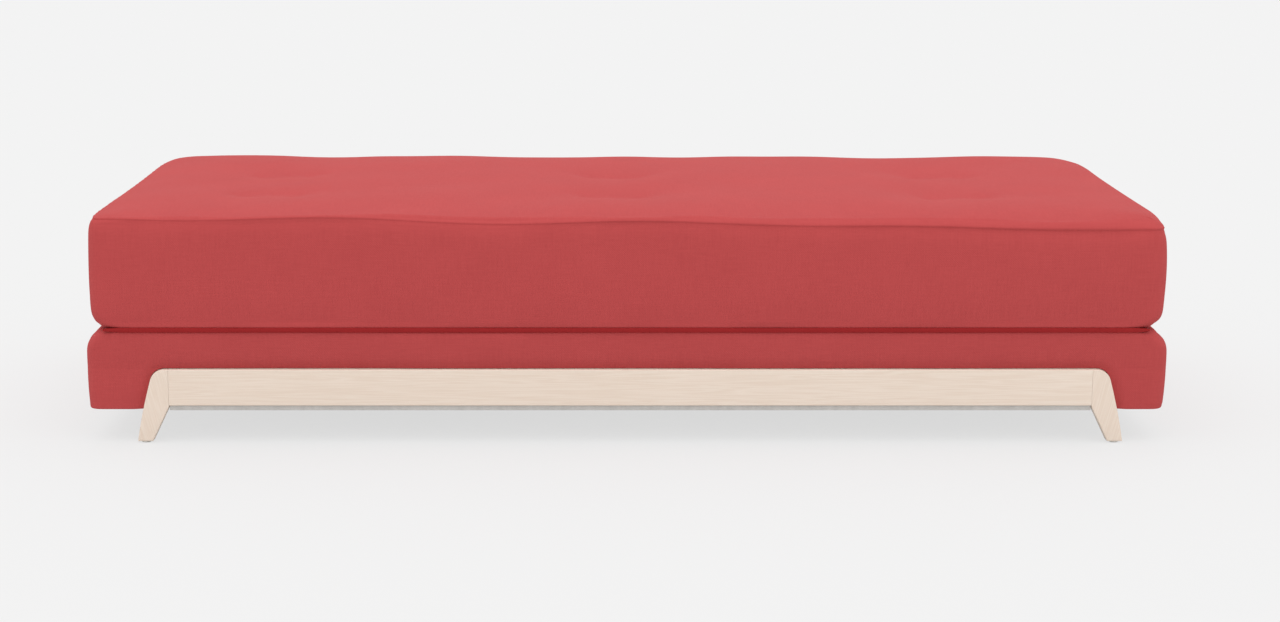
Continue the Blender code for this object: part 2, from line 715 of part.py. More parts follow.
def make_mattress():
    cover = padded_block(
        "mattress_cover", MATTRESS_LENGTH, MATTRESS_DEPTH, MATTRESS_BOTTOM, MATTRESS_TOP, 0.0,
        TOP_CROWN, UNDER_CROWN, MATTRESS_BULGE, "fabric", tufted=True
    )
    half_x = CORE_LENGTH / 2
    half_y = CORE_DEPTH / 2
    hollow = box_between(
        "mattress hollow", (-half_x - FIT, -half_y - FIT, CORE_BOTTOM - FIT),
        (half_x + FIT, half_y + FIT, CORE_TOP + FIT)
    )
    level = MATTRESS_BOTTOM + ZIP_LEVEL
    slot = box_between(
        "zip slot", (-ZIP_LENGTH / 2, half_y - FIT, level - ZIP_SLOT / 2),
        (ZIP_LENGTH / 2, MATTRESS_DEPTH / 2 + CUT_OVER, level + ZIP_SLOT / 2)
    )
    cut(cover, hollow, slot)
    core = box_between(
        "mattress_core", (-half_x, -half_y, CORE_BOTTOM), (half_x, half_y, CORE_TOP),
        "foam", CORE_BEVEL, 2
    )
    ties = []
    for (x, y), place in zip(tuft_centres(), TUFT_NAMES):
        name = "tuft_tie_" + place
        cut(core, turned(name + " bore", tie_profile(2 * FIT), (x, y, 0), (0, 0, 0)))
        ties.append(turned(name, tie_profile(0.0), (x, y, 0), (0, 0, 0), "cord"))
    return [cover, core, *ties, *make_zip()]


def hinge_outline():
    """A strip folded double, with its fold round the hinge axis and its two laps running back."""
    inner = FIT / 2
    outer = inner + HINGE_FABRIC
    fold = arc((0, 0), outer, -math.pi / 2, -3 * math.pi / 2, CURVE_STEPS)
    return [(HINGE_LAP, -inner), (HINGE_LAP, -outer)] + fold + [
        (HINGE_LAP, outer), (HINGE_LAP, inner), (0, inner), (0, -inner)
    ]


def make_hinge():
    plate(
        "fold_hinge_strip", hinge_outline(), HINGE_LENGTH, (0, AXIS_Y, SEAT_LEVEL), ALONG_X, "fabric"
    )


def hang_on_axis(objects):
    """The mattress turns about the fold hinge's axis."""
    axis = bpy.data.objects.new("mattress_fold_axis", None)
    axis.location = (0, AXIS_Y, SEAT_LEVEL)
    PARTS.objects.link(axis)
    bpy.context.view_layer.update()
    for obj in objects:
        obj.parent = axis
        obj.matrix_parent_inverse = axis.matrix_world.inverted()


make_frame()
make_carcass()
make_panel()
make_base_upholstery()
hang_on_axis(make_mattress())
make_hinge()
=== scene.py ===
"""Looks of the sofa bed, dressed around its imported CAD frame.

Metres, +Z up, and the front faces -Y. A soft piece starts as a lattice of cells over a box. The lattice is
rounded, swollen by a cloth simulation and subdivided, and then gets its seams, tufts and waves.
"""
import json
import math

import bpy
import numpy as np
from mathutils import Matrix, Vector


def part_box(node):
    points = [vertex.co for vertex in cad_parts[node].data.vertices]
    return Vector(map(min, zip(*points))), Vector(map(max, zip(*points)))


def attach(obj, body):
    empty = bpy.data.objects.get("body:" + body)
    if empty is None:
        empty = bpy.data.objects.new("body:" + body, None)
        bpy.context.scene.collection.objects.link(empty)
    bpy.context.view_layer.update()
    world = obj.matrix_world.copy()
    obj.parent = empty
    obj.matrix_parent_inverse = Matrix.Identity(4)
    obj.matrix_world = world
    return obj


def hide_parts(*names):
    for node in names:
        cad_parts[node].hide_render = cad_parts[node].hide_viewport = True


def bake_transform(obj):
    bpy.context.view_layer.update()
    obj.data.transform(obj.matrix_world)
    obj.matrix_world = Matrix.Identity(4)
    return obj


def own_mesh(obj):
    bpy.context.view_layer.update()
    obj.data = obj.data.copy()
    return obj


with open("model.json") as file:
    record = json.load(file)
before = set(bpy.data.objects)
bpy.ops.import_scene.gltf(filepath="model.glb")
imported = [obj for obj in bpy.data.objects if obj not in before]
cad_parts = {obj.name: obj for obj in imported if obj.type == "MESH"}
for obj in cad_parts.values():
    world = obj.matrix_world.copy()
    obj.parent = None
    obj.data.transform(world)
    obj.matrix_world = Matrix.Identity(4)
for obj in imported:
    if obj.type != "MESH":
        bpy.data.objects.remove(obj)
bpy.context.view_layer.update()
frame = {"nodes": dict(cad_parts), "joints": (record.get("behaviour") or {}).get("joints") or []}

# Camera and light
CAMERA_PLACE = (-0.0809, -4.6885, 1.0985)
CAMERA_PITCH = math.radians(11.15)
CAMERA_LENS = 64.28
CAMERA_SHIFT = 0.0406
BACKGROUND = 0.896
WORLD_LIGHT = 1.07
KEY_LIGHT = 0.78
KEY_TILT = math.radians(10)
KEY_TURN = math.radians(-8)
KEY_SPREAD = math.radians(75)
FLOOR_SIZE = 60.0
FLOOR_LEVEL = -0.0003
FLOOR_COLOUR = 0.685
FLOOR_PLAIN_SHARE = 0.75

# Lattices
CELL = 0.016
EDGE_STOPS = (0.0, 0.0012, 0.003, 0.0055, 0.009, 0.013, 0.019, 0.027, 0.038)
TINY = 1e-6

# Soft forms, a little fuller than in the CAD
TOP_CROWN = 0.011
UNDER_CROWN = 0.003
BASE_CROWN = 0.0025
CROWN_REACH = 0.070
MATTRESS_BULGE = 0.005
BASE_BULGE = 0.004
BASE_LEAN = 0.011
LEAN_POWER = 4
COVER_SHIFT = -0.008
MATTRESS_FRONT_ROOM = 0.0035
BASE_FRONT_ROOM = 0.0025
PLAN_RADIUS = 0.024
TOP_RADIUS = 0.0105
TOP_RADIUS_GROWTH = 0.80
TOP_END_RADIUS = 0.008
TOP_ROLL_REACH = 2.4
FOLD_RADIUS = 0.005
MATTRESS_END_RADIUS = 0.032
BASE_END_RADIUS = 0.042
HEM_RADIUS = 0.003
CORNER_REACH = 0.060
FOLD_CORNER_REACH = 0.034
SOFTER_CORNERS = {(-1, -1): 0.005, (1, -1): 0.018, (-1, 1): 0.010, (1, 1): 0.016}
START_SHARE = 0.95

# Cloth simulation
CLOTH_STEPS = 20
CLOTH_QUALITY = 6
CLOTH_PRESSURE = 1.5
CLOTH_MASS = 0.3
CLOTH_STRETCH = 25
CLOTH_SHEAR = 10
CLOTH_BEND = 2
SEAM_HELD = 0.012
MATTRESS_CAP = 0.012
BASE_CAP = 0.005

# Tufts of the mattress
TUFT_SHIFT = (-0.029, -0.030)
TUFT_DEPTH = 0.0070
TUFT_REACH = 0.115
TUFT_HELD = 0.018
PUCKER_DEPTH = 0.0045
PUCKER_OFFSET = 0.052
PUCKER_LONG = 0.028
PUCKER_WIDE = 0.036
PUCKER_FORWARD = 0.018

# Seams and unevenness of the mattress
GROOVE_DEPTH = 0.0036
GROOVE_WIDTH = 0.0026
GROOVE_FALL = 0.014
GATHER_WIDTH = 4 * GROOVE_WIDTH
SEAM_SHARE = 0.8
SEAM_STOPS = (0.0042, 0.0072, 0.011, 0.015, 0.017, 0.021)
SEAM_LIFT = 0.0025
SEAM_FALL = 0.004
SEAM_WAVES = ((0.0020, 0.80, 0.09), (0.0028, 0.55, 1.39))
REAR_WAVES = ((0.0008, 0.62, 0.4), (0.0005, 0.37, 2.1))
GATHER_WAVES = ((0.00045, 0.031, 0.3), (0.00035, 0.047, 1.9), (0.0003, 0.019, 4.0))
REAR_LIFT = 0.010
REAR_CORNER_FALLS = {-1: 0.004, 1: 0.011}
REAR_CORNER_REACH = 0.090
PANEL_WAVE_COUNT = 30
PANEL_WAVE_LENGTHS = (0.14, 0.60)
PANEL_WAVE_HEIGHT = 0.0004
BASE_WAVE_SHARE = 0.6
PANEL_SEED = 7

# Wooden frame and the cloth around it
LEG_SPLAY = 0.033
LEG_KNEE_INSET = 0.008
LEG_KNEE_LEVEL = 0.055
LEG_CORNER_RADIUS = 0.028
CURVE_STEPS = 8
NOTCH_GAP = 0.001
CUT_OVER = 0.020
CUT_INNER = 0.005
DIP_DEPTH = 0.005
DIP_REACH = 0.011
FRAME_STOPS = (-0.004, 0.0, 0.002, 0.0045, 0.008, 0.013, 0.020)
LEG_STOP = 0.008
BASE_SHARP_DEGREES = 50

# Fold hinge strip
STRIP_HALF_HEIGHT = 0.0045
STRIP_REACH = 0.0012
STRIP_THICKNESS = 0.0008
STRIP_LAP = 0.034
STRIP_INSET = 0.003
STRIP_OVER = 0.006
STRIP_TAPER = 0.035
STRIP_END_SHARE = 0.2
STRIP_STEPS = 10
STRIP_LENGTHS = 60
STRIP_SHARP_DEGREES = 60

# Zip
ZIP_HALF_SLOT = 0.006
ZIP_LIP = 0.0022
ZIP_RECESS = 0.0080
ZIP_STOPS = (0.0, 0.003, 0.005, 0.006, 0.0071, 0.0082, 0.012)
TOOTH_PITCH = 0.0026
TOOTH_LONG = 0.0046
TOOTH_WIDE = 0.0017
TOOTH_TALL = 0.0011
TOOTH_STAGGER = TOOTH_LONG / 8
TOOTH_CHAMFER = TOOTH_TALL / 3
TAPE_CHAMFER = 0.0002

# Colours, as light reflected
RED = (0.500, 0.074, 0.074)
RED_DEEP = (0.430, 0.058, 0.059)
# The hinge tape's two reds are darker and redder than the upholstery: painted shade and red bounce light
# of the groove along the fold
GROOVE_SHADED_RED = (0.327, 0.0215, 0.023)
GROOVE_SHADED_DEEP = (0.270, 0.0165, 0.017)
PALE_WOOD = (0.828, 0.716, 0.613)
PALE_GRAIN = (0.765, 0.635, 0.524)
PINE = (0.720, 0.520, 0.300)
PINE_GRAIN = (0.520, 0.320, 0.150)
STEEL = (0.62, 0.63, 0.64)
STEEL_DULL = (0.48, 0.49, 0.50)
PLASTIC = (0.80, 0.78, 0.74)
PLASTIC_DULL = (0.70, 0.68, 0.64)
LINING = (0.565, 0.550, 0.522)
LINING_DEEP = (0.465, 0.452, 0.429)
CORD = (0.72, 0.68, 0.60)
CORD_DEEP = (0.58, 0.54, 0.46)

# Woven cloth
WEAVE_PITCH = 0.0017
YARN_SCALES = (22.0, 430.0)
YARN_DETAIL = 2.0
CLOUD_SCALE = 9.0
CLOUD_DETAIL = 4.0
CLOUD_RANGE = (0.2, 0.8)
CLOUD_SHARE = 0.8
YARN_TONES = (0.95, 1.85)
THREAD_SHARE = 0.28
CLOTH_ROUGHNESS = (0.86, 0.98)
CLOTH_SPECULAR = 0.09
UPHOLSTERY_SHEEN = 0.035
SHEEN_ROUGHNESS = 0.65
SHEEN_TINT = (1.0, 0.78, 0.76, 1.0)
YARN_RELIEF = 1.2
CLOTH_BUMP = (0.35, 0.0005)

# Wood
RAIL_GRAIN = (2.2, 75.0, 75.0)
LEG_GRAIN = (75.0, 75.0, 2.2)
LEG_TILT = math.radians(14)
PINE_ALONG = (2.5, 60.0, 60.0)
PINE_ACROSS = (60.0, 2.5, 60.0)
PALE_ROUGHNESS = 0.58
PINE_ROUGHNESS = 0.7
GROWTH_DETAIL = 3.0
GROWTH_WARP = 0.35
GROWTH_LINES = 55.0
GROWTH_SHARE = 0.22
PORE_SCALE = 6
PORE_DETAIL = 2.0
PORE_RANGE = (0.3, 0.7)
PORE_SHARE = 0.7
PATCH_SCALE = 3.0
PATCH_DETAIL = 2.0
PATCH_SHARE = 0.4
WOOD_TONES = (0.15, 0.95)
WOOD_GLOSS_SPREAD = 0.08
WOOD_BUMP = (0.12, 0.0004)

# Plain finishes, each with its speckle's scale, its roughness, its share of metal and its bump
STEEL_FINISH = ((900.0, 900.0, 900.0), 0.34, 1.0, 0.1)
PLASTIC_FINISH = ((700.0, 700.0, 700.0), 0.5, 0.0, 0.15)
LINING_FINISH = ((800.0, 260.0, 500.0), 0.9, 0.0, 0.5)
CORD_FINISH = ((500.0, 500.0, 900.0), 0.9, 0.0, 0.6)
ZIP_TAPE_FINISH = ((900.0, 900.0, 900.0), 0.9, 0.0, 0.4)
ZIP_TOOTH_FINISH = ((700.0, 700.0, 700.0), 0.45, 0.0, 0.1)
FINE_DETAIL = 4.0
FINE_RANGE = (0.3, 0.7)
BROAD_SCALE = 1 / 12
BROAD_DETAIL = 2.0
SPECKLE_TONES = (0.7, 1.3)
SPECKLE_GLOSS_SPREAD = 0.07
SPECKLE_BUMP = 0.0004


# Objects and meshes

def new_object(name, data):
    obj = bpy.data.objects.new(name, data)
    bpy.context.scene.collection.objects.link(obj)
    return obj


def read_points(mesh):
    values = np.empty(len(mesh.vertices) * 3, np.float32)
    mesh.vertices.foreach_get("co", values)
    return values.reshape(-1, 3).astype(float)


def write_points(mesh, points):
    mesh.vertices.foreach_set("co", points.astype(np.float32).ravel())
    mesh.update()


def read_places(mesh):
    values = np.empty(len(mesh.vertices) * 3, np.float32)
    mesh.attributes["place"].data.foreach_get("vector", values)
    return values.reshape(-1, 3).astype(float)


def bake_modifiers(obj):
    """Turns the object's modifiers into its mesh."""
    bpy.context.view_layer.update()
    graph = bpy.context.evaluated_depsgraph_get()
    mesh = bpy.data.meshes.new_from_object(
        obj.evaluated_get(graph), preserve_all_data_layers=True, depsgraph=graph
    )
    obj.modifiers.clear()
    obj.data = mesh


def subdivide(obj):
    smoother = obj.modifiers.new("Subdivided", "SUBSURF")
    smoother.levels = 1
    smoother.render_levels = 1
    bake_modifiers(obj)


def shade_smooth(obj, sharp_degrees=None):
    obj.data.polygons.foreach_set("use_smooth", [True] * len(obj.data.polygons))
    if sharp_degrees:
        obj.data.set_sharp_from_angle(angle=math.radians(sharp_degrees))
    obj.data.update()


# Lattice of a soft piece

def stops(half, detail=()):
    """Lines across a side of the lattice: fine at its two edges and at the details, even between them."""
    fixed = {-half + s for s in EDGE_STOPS} | {half - s for s in EDGE_STOPS}
    fixed |= {d for d in detail if abs(d) < half}
    lines = [-half]
    for stop in sorted(fixed)[1:]:
        start = lines[-1]
        steps = max(1, math.ceil((stop - start) / CELL - TINY))
        lines += [start + (stop - start) * (i + 1) / steps for i in range(steps)]
    return np.array(lines)


def lattice(lines):
    """Points on the faces of a box, the quads between them and the axis that each quad faces along."""
    counts = [len(line) for line in lines]
    grid = np.stack(np.meshgrid(*lines, indexing="ij"), axis=-1)
    outer = np.zeros(counts, bool)
    for axis in range(3):
        for end in (0, -1):
            outer[(slice(None),) * axis + (end,)] = True
    numbers = np.full(counts, -1)
    numbers[outer] = np.arange(outer.sum())
    quads = []
    axes = []
    for axis in range(3):
        for end, side in ((0, -1), (counts[axis] - 1, 1)):
            face = np.take(numbers, end, axis=axis)
            corners = [face[:-1, :-1], face[1:, :-1], face[1:, 1:], face[:-1, 1:]]
            outward = side if axis != 1 else -side
            ordered = corners if outward > 0 else corners[::-1]
            made = np.stack(ordered, axis=-1).reshape(-1, 4)
            quads.append(made)
            axes.append(np.full(len(made), axis))
    return grid[outer], np.concatenate(quads), np.concatenate(axes)


def lattice_object(name, lines):
    """The lattice as an object, with a flat cloth pattern as UV map and each point's place on the box."""
    points, quads, axes = lattice(lines)
    mesh = bpy.data.meshes.new(name)
    mesh.from_pydata(points.tolist(), [], quads.tolist())
    corners = points[quads.ravel()]
    facing = np.repeat(axes, 4)
    across = np.where(facing == 0, corners[:, 1], corners[:, 0])
    along = np.where(facing == 2, corners[:, 1], corners[:, 2])
    pattern = mesh.uv_layers.new(name="Pattern")
    pattern.data.foreach_set("uv", np.stack([across + facing, along], axis=1).astype(np.float32).ravel())
    place = mesh.attributes.new("place", "FLOAT_VECTOR", "POINT")
    place.data.foreach_set("vector", points.astype(np.float32).ravel())
    return new_object(name, mesh), points


def edge_distances(place, half):
    """How far a point of the box is in from the edge of its plan, and below or above its top or bottom."""
    inset = (half[:2] - np.abs(place[:, :2])).min(axis=1)
    depth = half[2] - np.abs(place[:, 2])
    return inset, depth


def outward_way(place, half):
    """The way out of the plan at each point of the box: square to its sides, radial at its corners."""
    over = np.maximum(np.abs(place[:, :2]) - (half[:2] - PLAN_RADIUS), 0.0)
    corner = np.all(over > 0, axis=1)
    gaps = half[:2] - np.abs(place[:, :2])
    nearest = np.stack([gaps[:, 0] <= gaps[:, 1], gaps[:, 0] > gaps[:, 1]], axis=1).astype(float)
    radial = over / np.maximum(np.hypot(over[:, 0], over[:, 1]), TINY)[:, None]
    return np.where(corner[:, None], radial, nearest) * np.sign(place[:, :2])


def top_roll(place):
    """Radius of the mattress's front and rear top edges, which are rounder towards the right."""
    return TOP_RADIUS * np.exp(TOP_RADIUS_GROWTH * place[:, 0])


def edge_radius(place, half, along, at_ends, reach, corners):
    """Radius of a rolled edge: along the front and rear, at the two ends, and more at softer corners."""
    from_end = half[0] - np.abs(place[:, 0])
    radius = along + (at_ends - along) * np.exp(-(from_end / reach) ** 2)
    for (x_side, y_side), more in corners.items():
        away = np.hypot(place[:, 0] - x_side * half[0], place[:, 1] - y_side * half[1])
        radius += more * np.exp(-(away / reach) ** 2)
    return radius


def rounded(place, half, top_radius, bottom_radius, top_reach):
    """Rounds the corners of the plan, and rolls the edges round the top and the bottom."""
    flat = half[:2] - PLAN_RADIUS
    over = np.maximum(np.abs(place[:, :2]) - flat, 0.0)
    corner = np.all(over > 0, axis=1)
    squeeze = over.max(axis=1) / np.maximum(np.hypot(over[:, 0], over[:, 1]), TINY)
    over = over * np.where(corner, squeeze, 1.0)[:, None]
    plan = np.sign(place[:, :2]) * (np.minimum(np.abs(place[:, :2]), flat) + over)
    inset, depth = edge_distances(place, half)
    radius = np.where(place[:, 2] > 0, top_radius, bottom_radius)
    across = radius * np.where(place[:, 2] > 0, top_reach, 1.0)
    roll_in = np.clip(1 - inset / across, 0, 1)
    roll_down = np.clip(1 - depth / radius, 0, 1)
    on_face = depth < TINY
    angle = np.where(on_face, roll_in, 2 - roll_down) * math.pi / 4
    rolled = np.where(on_face, roll_in, roll_down) > 0
    new_inset = np.where(rolled, across * (1 - np.sin(angle)), inset)
    new_depth = np.where(rolled, radius * (1 - np.cos(angle)), depth)
    plan = plan + outward_way(place, half) * (inset - new_inset)[:, None]
    height = np.sign(place[:, 2]) * (half[2] - new_depth)
    return np.column_stack([plan, height])


def rise(distance):
    share = np.clip(distance / CROWN_REACH, 0, 1)
    return 1 - (1 - share) ** 2


def padded_form(place, half, crown, under, bulge, top_radius, bottom_radius, top_reach=1.0):
    """A cushion form on the box: crowned faces, and sides that swell between their seams."""
    points = rounded(place, half, top_radius, bottom_radius, top_reach)
    lift = rise(half[0] - np.abs(points[:, 0])) * rise(half[1] - np.abs(points[:, 1]))
    inset, depth = edge_distances(place, half)
    level = np.clip(np.abs(points[:, 2]) / half[2], 0, 1)
    swell = np.where(inset < TINY, bulge * (1 - level ** 2), 0.0)
    points[:, :2] += outward_way(place, half) * swell[:, None]
    above = place[:, 2] > 0
    crowned = depth < np.where(above, top_radius, bottom_radius)
    points[:, 2] += np.where(crowned, np.where(above, crown, -under) * lift, 0.0)
    return points


# Cloth

def swell_cloth(obj, held, cap):
    """Swells the cloth under pressure where it isn't held, and keeps each point's move under the cap."""
    scene = bpy.context.scene
    start = read_points(obj.data)
    group = obj.vertex_groups.new(name="held")
    group.add([int(i) for i in np.flatnonzero(held)], 1.0, "REPLACE")
    cloth = obj.modifiers.new("Cloth", "CLOTH")
    cloth.settings.quality = CLOTH_QUALITY
    cloth.settings.mass = CLOTH_MASS
    cloth.settings.tension_stiffness = CLOTH_STRETCH
    cloth.settings.compression_stiffness = CLOTH_STRETCH
    cloth.settings.shear_stiffness = CLOTH_SHEAR
    cloth.settings.bending_stiffness = CLOTH_BEND
    cloth.settings.use_pressure = True
    cloth.settings.uniform_pressure_force = CLOTH_PRESSURE
    cloth.settings.vertex_group_mass = "held"
    cloth.settings.effector_weights.gravity = 0
    cloth.collision_settings.use_collision = False
    cloth.point_cache.frame_start = 1
    cloth.point_cache.frame_end = CLOTH_STEPS
    for step in range(1, CLOTH_STEPS + 1):
        scene.frame_set(step)
    graph = bpy.context.evaluated_depsgraph_get()
    swollen = read_points(obj.evaluated_get(graph).data)
    obj.modifiers.remove(cloth)
    obj.vertex_groups.remove(group)
    scene.frame_set(1)
    move = swollen - start
    far = np.linalg.norm(move, axis=1)
    kept = cap * np.tanh(far / cap) / np.maximum(far, TINY)
    write_points(obj.data, start + move * kept[:, None])


def waves(distance, parts):
    """A sum of waves along a line, each with its height, length and start."""
    total = np.zeros_like(distance)
    for height, length, start in parts:
        total += height * np.sin(2 * math.pi * distance / length + start)
    return total


def panel_waves(place):
    """Slow unevenness of padded cloth: many low waves that run every way."""
    draw = np.random.default_rng(PANEL_SEED)
    total = np.zeros(len(place))
    for _ in range(PANEL_WAVE_COUNT):
        way = draw.normal(size=3)
        way /= np.linalg.norm(way) * draw.uniform(*PANEL_WAVE_LENGTHS)
        start = draw.uniform(0, 2 * math.pi)
        total += PANEL_WAVE_HEIGHT * np.sin(2 * math.pi * (place @ way) + start)
    return total


def unevenness(place, half):
    """The panels' waves, which fade out at the edges."""
    inset, depth = edge_distances(place, half)
    return panel_waves(place) * np.clip(np.maximum(inset, depth) / SEAM_HELD, 0, 1)


def push_sides(place, points, half, distance):
    """Moves the sides of a soft piece outwards."""
    depth = edge_distances(place, half)[1]
    points[:, :2] += outward_way(place, half) * np.where(depth > TINY, distance, 0.0)[:, None]


def top_seam(place, points, half):
    """Draws the cloth in along the seam under the rolled top edge, with small gathers."""
    inset, depth = edge_distances(place, half)
    near = depth - inset - SEAM_SHARE * top_roll(place)
    run = place[:, 0] + place[:, 1]
    draw = GROOVE_DEPTH * np.exp(-(near / np.where(near < 0, GROOVE_WIDTH, GROOVE_FALL)) ** 2)
    gather = waves(run, GATHER_WAVES) * np.exp(-(near / GATHER_WIDTH) ** 2)
    move = np.where(place[:, 2] > 0, gather - draw, 0.0)
    angle = (1 + SEAM_SHARE) * math.pi / 4
    points[:, :2] += outward_way(place, half) * (move * math.sin(angle))[:, None]
    points[:, 2] += move * math.cos(angle)


# Mattress

def flatten(obj):
    """Gives a piece of the mattress a mesh of its own."""
    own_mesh(obj)


def tuft_places(middle):
    """Where the ties draw the top in, on the plan of the mattress."""
    places = []
    for name in sorted(n for n in frame["nodes"] if n.startswith("tuft_tie_")):
        low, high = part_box(name)
        places.append((np.array(low) + np.array(high))[:2] / 2 + TUFT_SHIFT - middle[:2])
    return places


def tuft_bowls(x, y, tufts):
    dip = np.zeros_like(x)
    for cx, cy in tufts:
        share = np.clip(np.hypot(x - cx, y - cy) / TUFT_REACH, 0, 1)
        dip += TUFT_DEPTH * (1 - share ** 2) ** 2
    return dip


def tuft_puckers(x, y, tufts):
    """Two folds beside each tuft, where the stitch gathers the cloth."""
    dip = np.zeros_like(x)
    for cx, cy in tufts:
        for side in (-1, 1):
            u = (x - cx - side * PUCKER_OFFSET) / PUCKER_LONG
            v = (y - cy + PUCKER_FORWARD) / PUCKER_WIDE
            dip += PUCKER_DEPTH * np.exp(-(u ** 2 + v ** 2))
    return dip


def front_edge_height(x):
    """How far the front top edge stands above its straight line: it falls to the right and is wavy."""
    return SEAM_LIFT - SEAM_FALL * x + waves(x, SEAM_WAVES)


def settle_mattress(place, points, half):
    """Waves and sags of a used mattress: a wandering front edge, a higher rear, falling rear corners."""
    up = np.clip((place[:, 2] + half[2]) / (2 * half[2]), 0, 1)
    back = (place[:, 1] + half[1]) / (2 * half[1])
    points[:, 2] += up * (1 - back) ** 2 * front_edge_height(place[:, 0])
    points[:, 2] += up * back ** 2 * (REAR_LIFT + waves(place[:, 0], REAR_WAVES))
    for x_side, fall in REAR_CORNER_FALLS.items():
        away = np.hypot(place[:, 0] - x_side * half[0], place[:, 1] - half[1])
        points[:, 2] -= up * fall * np.exp(-(away / REAR_CORNER_REACH) ** 2)


def zip_channel(place, points, half, level, zip_half_length):
    """Draws the rear of the cover in where the zip lies, with a rounded lip on each side of it."""
    rear = (place[:, 1] > half[1] - TINY) & (np.abs(place[:, 0]) < half[0] - EDGE_STOPS[-1])
    above = np.clip((ZIP_HALF_SLOT + ZIP_LIP - np.abs(place[:, 2] - level)) / ZIP_LIP, 0, 1)
    beside = np.clip((zip_half_length + CELL - np.abs(place[:, 0])) / CELL, 0, 1)
    draw = above ** 2 * (3 - 2 * above) * beside
    bottom = half[1] + MATTRESS_BULGE - ZIP_RECESS - ZIP_LIP
    points[:, 1] = np.where(rear, points[:, 1] + draw * (bottom - points[:, 1]), points[:, 1])


def mattress_held(place, half, tufts):
    """The points that the cloth simulation leaves: along the edges, at the tufts and underneath."""
    gaps = np.sort(half - np.abs(place), axis=1)
    tufted = np.zeros(len(place), bool)
    for cx, cy in tufts:
        tufted |= np.hypot(place[:, 0] - cx, place[:, 1] - cy) < TUFT_HELD
    return (gaps[:, 1] < SEAM_HELD) | tufted | (place[:, 2] < -half[2] + TINY)


def sew_mattress(place, points, half, tufts):
    """Puckers at the tufts, the seam round the top, and uneven panels."""
    on_top = place[:, 2] > half[2] - TINY
    points[:, 2] -= np.where(on_top, tuft_puckers(place[:, 0], place[:, 1], tufts), 0.0)
    top_seam(place, points, half)
    uneven = unevenness(place, half)
    points[:, 2] += np.where(on_top, uneven, 0.0)
    push_sides(place, points, half, uneven)


def make_mattress(material):
    """The mattress, and the share of its thickness that it keeps when it is opened out."""
    low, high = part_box("mattress_cover")
    zip_low, zip_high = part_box("mattress_zip")
    front = low.y + MATTRESS_FRONT_ROOM
    size = np.array([high.x - low.x, high.y - front, high.z - low.z])
    half = (size - [2 * MATTRESS_BULGE, 2 * MATTRESS_BULGE, TOP_CROWN + UNDER_CROWN]) / 2
    middle = np.array([COVER_SHIFT, (front + high.y) / 2, low.z + UNDER_CROWN + half[2]])
    level = (zip_low.z + zip_high.z) / 2 - middle[2]
    zip_lines = [level + side * s for s in ZIP_STOPS for side in (-1, 1)]
    seam_lines = [half[2] - s for s in SEAM_STOPS]
    lines = [stops(half[0]), stops(half[1]), stops(half[2], zip_lines + seam_lines)]
    obj, place = lattice_object("mattress_upholstery", lines)
    tufts = tuft_places(middle)
    top = (place[:, 2] > half[2] - TINY).astype(float)
    top_radius = edge_radius(place, half, top_roll(place), TOP_END_RADIUS, CORNER_REACH, SOFTER_CORNERS)
    bottom_radius = edge_radius(place, half, FOLD_RADIUS, MATTRESS_END_RADIUS, FOLD_CORNER_REACH, {})
    crown = TOP_CROWN * START_SHARE
    bulge = MATTRESS_BULGE * START_SHARE
    start = padded_form(place, half, crown, UNDER_CROWN, bulge, top_radius, bottom_radius, TOP_ROLL_REACH)
    start[:, 2] -= top * tuft_bowls(place[:, 0], place[:, 1], tufts)
    write_points(obj.data, start)
    swell_cloth(obj, mattress_held(place, half, tufts), MATTRESS_CAP)
    subdivide(obj)
    mesh = obj.data
    place = read_places(mesh)
    points = read_points(mesh)
    sew_mattress(place, points, half, tufts)
    settle_mattress(place, points, half)
    zip_channel(place, points, half, level, (zip_high.x - zip_low.x) / 2)
    write_points(mesh, points + middle)
    shade_smooth(obj)
    mesh.materials.append(material)
    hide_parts("mattress_cover", "mattress_core")
    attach(obj, "mattress")
    keep = min((low.z - FLOOR_LEVEL) / (points[:, 2].max() + middle[2] - low.z), 1.0)
    flatten(obj)
    return keep


# Base

def frame_outline(gap):
    """Outside of the rail and the right leg, seen from the front: from the top edge to the foot."""
    low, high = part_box("front_right_leg")
    corner = (high.x - LEG_SPLAY + gap, high.z + gap)
    knee = (high.x - LEG_KNEE_INSET + gap, LEG_KNEE_LEVEL)
    foot = (high.x + gap, low.z)
    slope = math.atan2(corner[1] - knee[1], knee[0] - corner[0])
    radius = LEG_CORNER_RADIUS + gap
    centre = (corner[0] - radius / math.tan((math.pi - slope) / 2), corner[1] - radius)
    points = []
    for i in range(CURVE_STEPS + 1):
        angle = math.pi / 2 - slope * i / CURVE_STEPS
        points.append((centre[0] + radius * math.cos(angle), centre[1] + radius * math.sin(angle)))
    start = points[-1]
    for i in range(1, CURVE_STEPS + 1):
        t = i / CURVE_STEPS
        u = (1 - t) ** 2 * start[0] + 2 * t * (1 - t) * knee[0] + t ** 2 * foot[0]
        v = (1 - t) ** 2 * start[1] + 2 * t * (1 - t) * knee[1] + t ** 2 * foot[1]
        points.append((u, v))
    return points


def line_distance(x, z, line):
    """Distance from points to a broken line."""
    best = np.full(len(x), np.inf)
    for (ax, az), (bx, bz) in zip(line[:-1], line[1:]):
        dx = bx - ax
        dz = bz - az
        t = np.clip(((x - ax) * dx + (z - az) * dz) / (dx * dx + dz * dz), 0, 1)
        best = np.minimum(best, np.hypot(x - ax - t * dx, z - az - t * dz))
    return best


